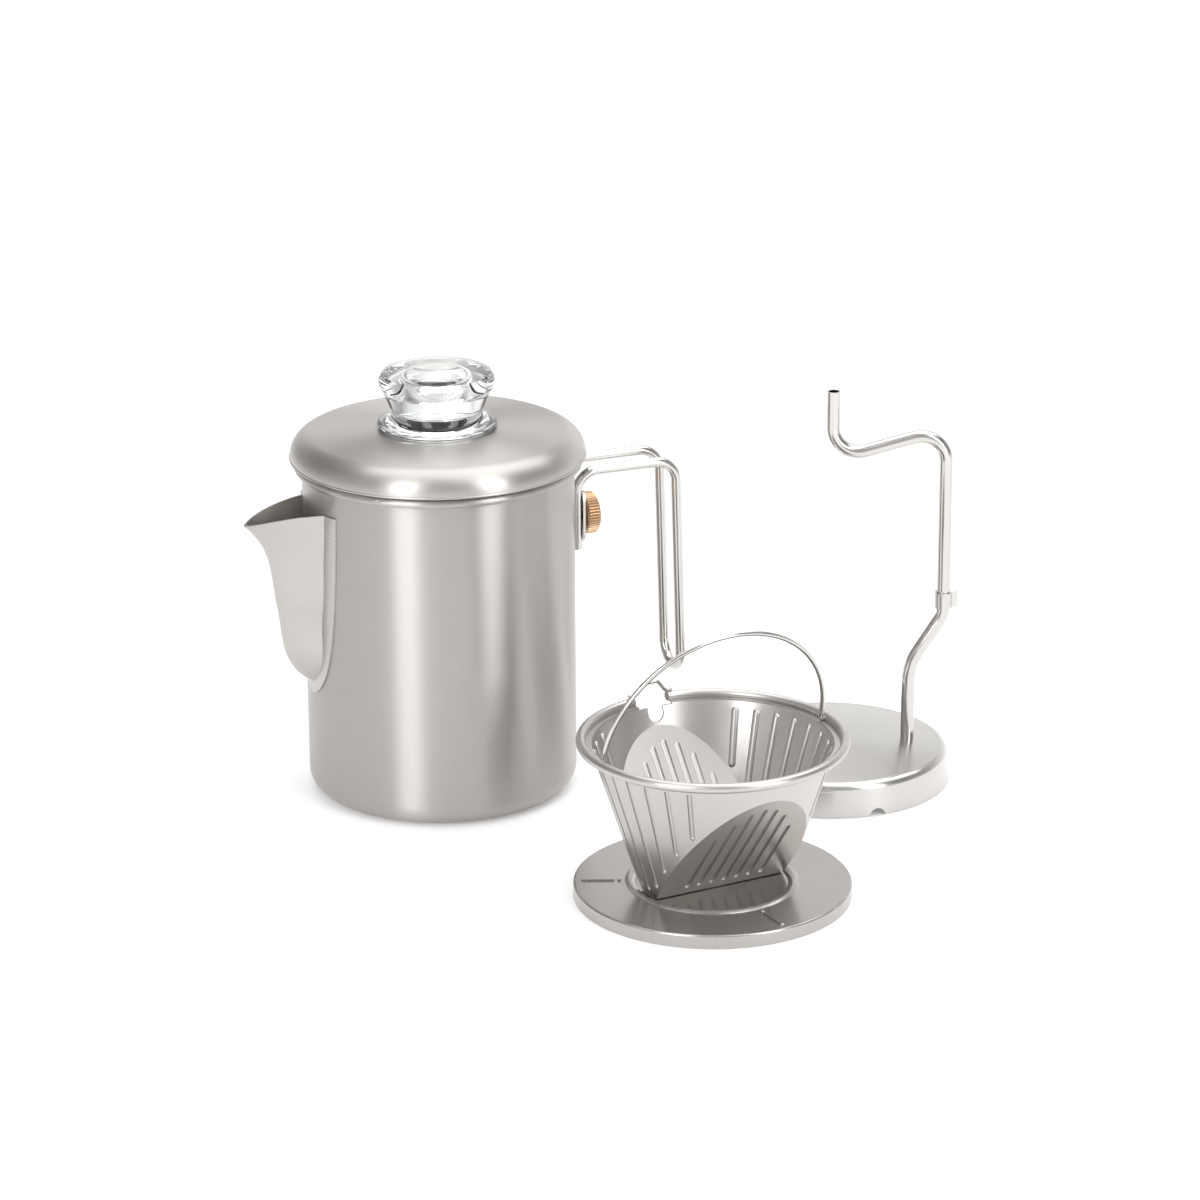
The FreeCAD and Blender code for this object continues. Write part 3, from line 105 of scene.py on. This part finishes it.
class Recipe:
    """A material's node tree, with short calls for adding and joining nodes."""

    def __init__(self, name):
        self.material = bpy.data.materials.new(name)
        self.material.use_nodes = True
        self.tree = self.material.node_tree
        self.shader = self.tree.nodes["Principled BSDF"]

    def add(self, kind, **settings):
        node = self.tree.nodes.new(f"ShaderNode{kind}")
        for key, value in settings.items():
            setattr(node, key, value)
        return node

    def join(self, source, target):
        self.tree.links.new(source, target)

    def sum_up(self, operation, first, second):
        """A Math node; each side is a socket or a number."""
        node = self.add("Math", operation=operation)
        for place, side in enumerate((first, second)):
            if isinstance(side, bpy.types.NodeSocket):
                self.join(side, node.inputs[place])
            else:
                node.inputs[place].default_value = side
        return node.outputs[0]

    def place_from(self, centre):
        """Coordinates in metres, counted from a point of the set."""
        coordinates = self.add("TexCoord")
        shift = self.add("Mapping")
        shift.inputs["Location"].default_value = tuple(-value for value in centre)
        self.join(coordinates.outputs["Object"], shift.inputs["Vector"])
        return shift.outputs["Vector"]

    def noise(self, vector, scale, detail=3.0, roughness=0.55):
        node = self.add("TexNoise")
        node.inputs["Scale"].default_value = scale
        node.inputs["Detail"].default_value = detail
        node.inputs["Roughness"].default_value = roughness
        self.join(vector, node.inputs["Vector"])
        return node.outputs["Fac"]

    def spread(self, value, low, high):
        """Turns a noise's usual range into low..high."""
        node = self.add("MapRange")
        node.inputs["From Min"].default_value = NOISE_LOW
        node.inputs["From Max"].default_value = NOISE_HIGH
        node.inputs["To Min"].default_value = low
        node.inputs["To Max"].default_value = high
        self.join(value, node.inputs["Value"])
        return node.outputs["Result"]

    def tint(self, value, dark, light):
        node = self.add("Mix", data_type="RGBA")
        node.inputs["A"].default_value = (*dark, 1.0)
        node.inputs["B"].default_value = (*light, 1.0)
        self.join(value, node.inputs["Factor"])
        self.join(node.outputs["Result"], self.shader.inputs["Base Color"])

    def bump(self, height, distance, strength):
        node = self.add("Bump")
        node.inputs["Distance"].default_value = distance
        node.inputs["Strength"].default_value = strength
        self.join(height, node.inputs["Height"])
        self.join(node.outputs["Normal"], self.shader.inputs["Normal"])


def shaded(colour, amount):
    """A darker or lighter version of a colour."""
    return tuple(min(1.0, channel * amount) for channel in colour)


def spun_metal(name, colour, polish, centre=ORIGIN, anisotropy=0.0, depth=0.000006):
    """Sheet metal with fine lines that run round an upright axis through centre.

    polish is the (lowest, highest) roughness, and depth the lines' height in metres.
    """
    recipe = Recipe(name)
    shader = recipe.shader
    shader.inputs["Metallic"].default_value = 1.0
    shader.inputs["Anisotropic"].default_value = anisotropy
    place = recipe.place_from(centre)
    split = recipe.add("SeparateXYZ")
    recipe.join(place, split.inputs[0])
    flat = recipe.add("CombineXYZ")
    recipe.join(split.outputs["X"], flat.inputs["X"])
    recipe.join(split.outputs["Y"], flat.inputs["Y"])
    distance = recipe.add("VectorMath", operation="LENGTH")
    recipe.join(flat.outputs[0], distance.inputs[0])
    lines = recipe.add("CombineXYZ")
    recipe.join(recipe.sum_up("MULTIPLY", distance.outputs["Value"], LINE_PITCH),
                lines.inputs["X"])
    recipe.join(recipe.sum_up("MULTIPLY", split.outputs["Z"], LINE_PITCH), lines.inputs["Y"])
    drift = recipe.sum_up("ADD", split.outputs["X"],
                          recipe.sum_up("MULTIPLY", split.outputs["Y"], DRIFT_LEAN))
    recipe.join(recipe.sum_up("MULTIPLY", drift, LINE_DRIFT), lines.inputs["Z"])
    hair = recipe.noise(lines.outputs[0], 1.0, detail=4.0, roughness=0.65)
    cloud = recipe.noise(place, SPUN_CLOUD, detail=2.0)
    mixed = recipe.sum_up("ADD", recipe.sum_up("MULTIPLY", hair, HAIR_SHARE),
                          recipe.sum_up("MULTIPLY", cloud, CLOUD_SHARE))
    recipe.join(recipe.spread(mixed, *polish), shader.inputs["Roughness"])
    recipe.tint(mixed, shaded(colour, 0.96), shaded(colour, 1.04))
    recipe.bump(hair, depth, 0.12)
    if anisotropy:
        shader.inputs["Anisotropic Rotation"].default_value = QUARTER_TURN
        tangent = recipe.add("Tangent", direction_type="RADIAL", axis="Z")
        recipe.join(tangent.outputs[0], shader.inputs["Tangent"])
    return recipe.material


def drawn_metal(name, colour, polish, depth=0.00001):
    """Bent wire, tube or small sheet: bright, with faint handling marks and soft clouding."""
    recipe = Recipe(name)
    shader = recipe.shader
    shader.inputs["Metallic"].default_value = 1.0
    place = recipe.place_from(ORIGIN)
    stretch = recipe.add("Mapping")
    stretch.inputs["Scale"].default_value = (1.0, 1.0, MARK_STRETCH)
    recipe.join(place, stretch.inputs["Vector"])
    marks = recipe.noise(stretch.outputs["Vector"], MARK_PITCH, detail=4.0, roughness=0.7)
    cloud = recipe.noise(place, DRAWN_CLOUD, detail=2.0)
    mixed = recipe.sum_up("ADD", recipe.sum_up("MULTIPLY", marks, 0.5),
                          recipe.sum_up("MULTIPLY", cloud, 0.5))
    recipe.join(recipe.spread(mixed, *polish), shader.inputs["Roughness"])
    recipe.tint(mixed, shaded(colour, 0.92), shaded(colour, 1.06))
    recipe.bump(marks, depth, 0.1)
    return recipe.material


def clear_glass(name, colour):
    """Pressed glass: clear, with the slow waves of a mould in its surface."""
    recipe = Recipe(name)
    shader = recipe.shader
    shader.inputs["Transmission Weight"].default_value = 1.0
    shader.inputs["IOR"].default_value = GLASS_IOR
    place = recipe.place_from(ORIGIN)
    wave = recipe.noise(place, GLASS_WAVE, detail=1.0)
    recipe.join(recipe.spread(wave, 0.0, 0.03), shader.inputs["Roughness"])
    recipe.tint(wave, shaded(colour, 0.985), colour)
    recipe.bump(wave, 0.0002, 0.12)
    return recipe.material


def pale_floor(name, glow):
    """Matte white sweep with a barely visible texture."""
    recipe = Recipe(name)
    recipe.shader.inputs["Specular IOR Level"].default_value = 0.2
    place = recipe.place_from(ORIGIN)
    fleck = recipe.noise(place, FLECK_PITCH, detail=4.0)
    recipe.join(recipe.spread(fleck, 0.75, 0.85), recipe.shader.inputs["Roughness"])
    recipe.tint(fleck, (0.90, 0.90, 0.90), (0.92, 0.92, 0.92))
    recipe.shader.inputs["Emission Color"].default_value = (1.0, 1.0, 1.0, 1.0)
    recipe.shader.inputs["Emission Strength"].default_value = glow
    return recipe.material


def dress(node, material):
    """Gives a CAD node one material in all its slots."""
    mesh = NODES[node].data
    if not mesh.materials:
        mesh.materials.append(material)
    for index in range(len(mesh.materials)):
        mesh.materials[index] = material


# ------------------------------------------------------------------ operators


class PERCOLATOR_OT_pot(bpy.types.Operator):
    """Finishes the pot, its spout and the boss on its wall"""

    bl_idname = "percolator.pot"
    bl_label = "Pot and spout"

    def execute(self, context):
        finish = context.scene.percolator_finish
        satin = finish.satin_colour
        dress("pot_body", spun_metal("satin_steel", satin, (0.36, 0.42), anisotropy=0.95))
        # painted shade: the spout takes the pot's satin steel darkened to 0.95, so that it looks
        # less lit
        dress("spout", spun_metal("spout_steel_painted_shade", shaded(satin, 0.95), (0.24, 0.34)))
        dress("screw_boss", drawn_metal("boss_steel", satin, (0.25, 0.4)))
        return {"FINISHED"}


class PERCOLATOR_OT_handle(bpy.types.Operator):
    """Finishes the wire handle, its clamp plate and the brass screw"""

    bl_idname = "percolator.handle"
    bl_label = "Handle and clamp"

    def execute(self, context):
        finish = context.scene.percolator_finish
        dress("handle_wire", drawn_metal("handle_steel", finish.bright_colour, (0.12, 0.22)))
        dress("clamp_plate", drawn_metal("clamp_steel", finish.bright_colour, (0.2, 0.3)))
        dress("thumb_screw", drawn_metal("screw_brass", finish.brass_colour, (0.32, 0.42)))
        return {"FINISHED"}


class PERCOLATOR_OT_lid(bpy.types.Operator):
    """Finishes the lid, the ring inside it and the glass knob"""

    bl_idname = "percolator.lid"
    bl_label = "Lid and knob"

    def execute(self, context):
        finish = context.scene.percolator_finish
        satin = finish.satin_colour
        dress("lid_shell", spun_metal("lid_satin", satin, (0.34, 0.4), anisotropy=0.8))
        dress("lid_ring", spun_metal("ring_steel", satin, (0.2, 0.3)))
        dress("glass_knob", clear_glass("knob_glass", finish.glass_colour))
        return {"FINISHED"}


class PERCOLATOR_OT_basket(bpy.types.Operator):
    """Finishes the basket, its bail, the loop on its rim and the plate under it"""

    bl_idname = "percolator.basket"
    bl_label = "Basket and plate"

    def execute(self, context):
        finish = context.scene.percolator_finish
        centre = axis_of("drip_plate")
        plate = spun_metal("plate_steel", shaded(finish.satin_colour, 0.96), (0.24, 0.28),
                           centre, anisotropy=0.5, depth=0.000002)
        dress("drip_plate", plate)
        # painted shade: the basket takes the bright steel of the wire, tube and base darkened to
        # 0.88, so that it looks less lit
        basket = spun_metal("basket_steel", shaded(finish.bright_colour, 0.88), (0.3, 0.36),
                            centre, depth=0.0000015)
        dress("basket_body", basket)
        wire = drawn_metal("bail_steel", finish.bright_colour, (0.1, 0.2))
        dress("basket_bail", wire)
        dress("tube_keeper", wire)
        return {"FINISHED"}


class PERCOLATOR_OT_pump(bpy.types.Operator):
    """Finishes the pump's base, tube and clip"""

    bl_idname = "percolator.pump"
    bl_label = "Pump"

    def execute(self, context):
        finish = context.scene.percolator_finish
        centre = axis_of("pump_base")
        base = spun_metal("base_steel", finish.bright_colour, (0.2, 0.26), centre, anisotropy=0.6)
        dress("pump_base", base)
        dress("pump_tube", drawn_metal("tube_steel", finish.bright_colour, (0.1, 0.2)))
        dress("tube_clip", drawn_metal("clip_steel", finish.bright_colour, (0.18, 0.28)))
        return {"FINISHED"}


# ------------------------------------------------------------------ stage

CAMERA_PLACE = Vector((-0.5645, -1.5809, 0.6655))
CAMERA_FORWARD = Vector((0.3515, 0.8758, -0.3308))
CAMERA_ROLL = -0.00525
SENSOR_WIDTH = 36.0
NEAR_CLIP = 0.05
LIGHT_TARGET = (0.04, -0.05, 0.06)
OVERHEAD_PLACE = (0.55, 0.35, 2.4)
OVERHEAD_SIZE = 3.0
STRIP_DISTANCE, STRIP_HEIGHT, STRIP_LENGTH = 1.2, 0.65, 1.25
# name, turn from the camera's side in degrees, and width of each strip light
STRIPS = (("strip_left", -25, 0.46), ("strip_right", 46, 0.42))
FLOOR_DROP = 0.0002
# grey levels of the surroundings: by the height of a direction, and by how far it lies
# towards the bright side, from 0 (away from it) to 1
HEIGHT_LEVELS = (
    (0.0, 1.0), (0.15, 1.0), (0.4, 0.95), (0.52, 0.65), (0.72, 1.0), (0.86, 1.3), (1.0, 0.8),
)
DEPTH_LEVELS = ((0.0, 0.75), (0.3, 0.6), (0.5, 0.35), (0.8, 0.55), (1.0, 1.3))
BRIGHT_SIDE = (0.6675, 0.7446, 0.0)


def aim(obj, target):
    """Turns a light to face a point."""
    direction = Vector(target) - obj.location
    obj.rotation_euler = direction.to_track_quat("-Z", "Y").to_euler()


def soft_light(name, place, width, height, power):
    """A rectangular light that faces the set."""
    data = bpy.data.lights.new(name, "AREA")
    data.shape = "RECTANGLE"
    data.size = width
    data.size_y = height
    data.energy = power
    light = bpy.data.objects.new(name, data)
    light.location = place
    bpy.context.scene.collection.objects.link(light)
    aim(light, LIGHT_TARGET)


def around(turn, distance, height):
    """A place round the set: turn is counted from the camera's side, to the right."""
    facing = math.atan2(-CAMERA_FORWARD.y, -CAMERA_FORWARD.x)
    angle = facing + math.radians(turn)
    return Vector((distance * math.cos(angle), distance * math.sin(angle), height))


def ramp_of(tree, source, levels):
    """Grey levels along a value from 0 to 1, as (position, level) pairs."""
    node = tree.nodes.new("ShaderNodeValToRGB")
    stops = node.color_ramp.elements
    while len(stops) < len(levels):
        stops.new(0.5)
    for stop, (position, level) in zip(stops, levels):
        stop.position = position
        stop.color = (level, level, level, 1)
    tree.links.new(source, node.inputs[0])
    return node.outputs["Color"]


def studio_world(scene):
    """Pale surroundings: brightest on the bright side and darkest square to it."""
    world = bpy.data.worlds.new("studio")
    scene.world = world
    world.use_nodes = True
    tree = world.node_tree
    background = tree.nodes["Background"]
    coordinates = tree.nodes.new("ShaderNodeTexCoord")
    split = tree.nodes.new("ShaderNodeSeparateXYZ")
    tree.links.new(coordinates.outputs["Generated"], split.inputs[0])
    height = ramp_of(tree, split.outputs["Z"], HEIGHT_LEVELS)
    depth = tree.nodes.new("ShaderNodeVectorMath")
    depth.operation = "DOT_PRODUCT"
    depth.inputs[1].default_value = BRIGHT_SIDE
    tree.links.new(coordinates.outputs["Generated"], depth.inputs[0])
    share = tree.nodes.new("ShaderNodeMapRange")
    share.inputs["From Min"].default_value = -1.0
    tree.links.new(depth.outputs["Value"], share.inputs["Value"])
    sides = ramp_of(tree, share.outputs["Result"], DEPTH_LEVELS)
    mixed = tree.nodes.new("ShaderNodeMix")
    mixed.data_type = "RGBA"
    mixed.blend_type = "MULTIPLY"
    mixed.inputs["Factor"].default_value = 1.0
    tree.links.new(height, mixed.inputs["A"])
    tree.links.new(sides, mixed.inputs["B"])
    tree.links.new(mixed.outputs["Result"], background.inputs["Color"])
    background.inputs["Strength"].default_value = 1.0


class PERCOLATOR_OT_stage(bpy.types.Operator):
    """Makes the floor, the soft lights and the camera"""

    bl_idname = "percolator.stage"
    bl_label = "Stage"

    def execute(self, context):
        scene = context.scene
        settings = scene.percolator_stage
        half = settings.floor_size / 2
        mesh = bpy.data.meshes.new("floor")
        corners = [(-half, -half, 0), (half, -half, 0), (half, half, 0), (-half, half, 0)]
        mesh.from_pydata(corners, [], [(0, 1, 2, 3)])
        mesh.materials.append(pale_floor("floor_white", settings.floor_glow))
        floor = bpy.data.objects.new("floor", mesh)
        floor.location.z = -FLOOR_DROP
        scene.collection.objects.link(floor)
        studio_world(scene)
        soft_light("overhead", OVERHEAD_PLACE, OVERHEAD_SIZE, OVERHEAD_SIZE, settings.key_power)
        for name, turn, width in STRIPS:
            place = around(turn, STRIP_DISTANCE, STRIP_HEIGHT)
            soft_light(name, place, width, STRIP_LENGTH, settings.strip_power)
        data = bpy.data.cameras.new("camera")
        data.lens = settings.lens
        data.sensor_width = SENSOR_WIDTH
        data.clip_start = NEAR_CLIP
        camera = bpy.data.objects.new("camera", data)
        camera.location = CAMERA_PLACE
        look = CAMERA_FORWARD.to_track_quat("-Z", "Y").to_matrix()
        right, up = look.col[0].copy(), look.col[1].copy()
        cosine, sine = math.cos(CAMERA_ROLL), math.sin(CAMERA_ROLL)
        look.col[0] = right * cosine + up * sine
        look.col[1] = up * cosine - right * sine
        camera.rotation_euler = look.to_euler()
        scene.collection.objects.link(camera)
        scene.camera = camera
        scene.view_settings.view_transform = "Standard"
        return {"FINISHED"}


class PERCOLATOR_PT_panel(bpy.types.Panel):
    """Lists the steps that finish and light the set"""

    bl_label = "Percolator"
    bl_space_type = "VIEW_3D"
    bl_region_type = "UI"
    bl_category = "Percolator"

    def draw(self, context):
        layout = self.layout
        for settings in (context.scene.percolator_finish, context.scene.percolator_stage):
            for name in settings.bl_rna.properties.keys():
                if name not in ("rna_type", "name"):
                    layout.prop(settings, name)
        for operator in STEPS:
            layout.operator(operator.bl_idname)


STEPS = (
    PERCOLATOR_OT_pot, PERCOLATOR_OT_handle, PERCOLATOR_OT_lid, PERCOLATOR_OT_basket,
    PERCOLATOR_OT_pump, PERCOLATOR_OT_stage,
)
CLASSES = (PercolatorFinish, PercolatorStage, *STEPS, PERCOLATOR_PT_panel)


def register():
    for item in CLASSES:
        bpy.utils.register_class(item)
    bpy.types.Scene.percolator_finish = bpy.props.PointerProperty(type=PercolatorFinish)
    bpy.types.Scene.percolator_stage = bpy.props.PointerProperty(type=PercolatorStage)


def unregister():
    del bpy.types.Scene.percolator_stage
    del bpy.types.Scene.percolator_finish
    for item in reversed(CLASSES):
        bpy.utils.unregister_class(item)


def main():
    register()
    for operator in STEPS:
        group, name = operator.bl_idname.split(".")
        getattr(getattr(bpy.ops, group), name)()


if __name__ == "__main__":
    main()
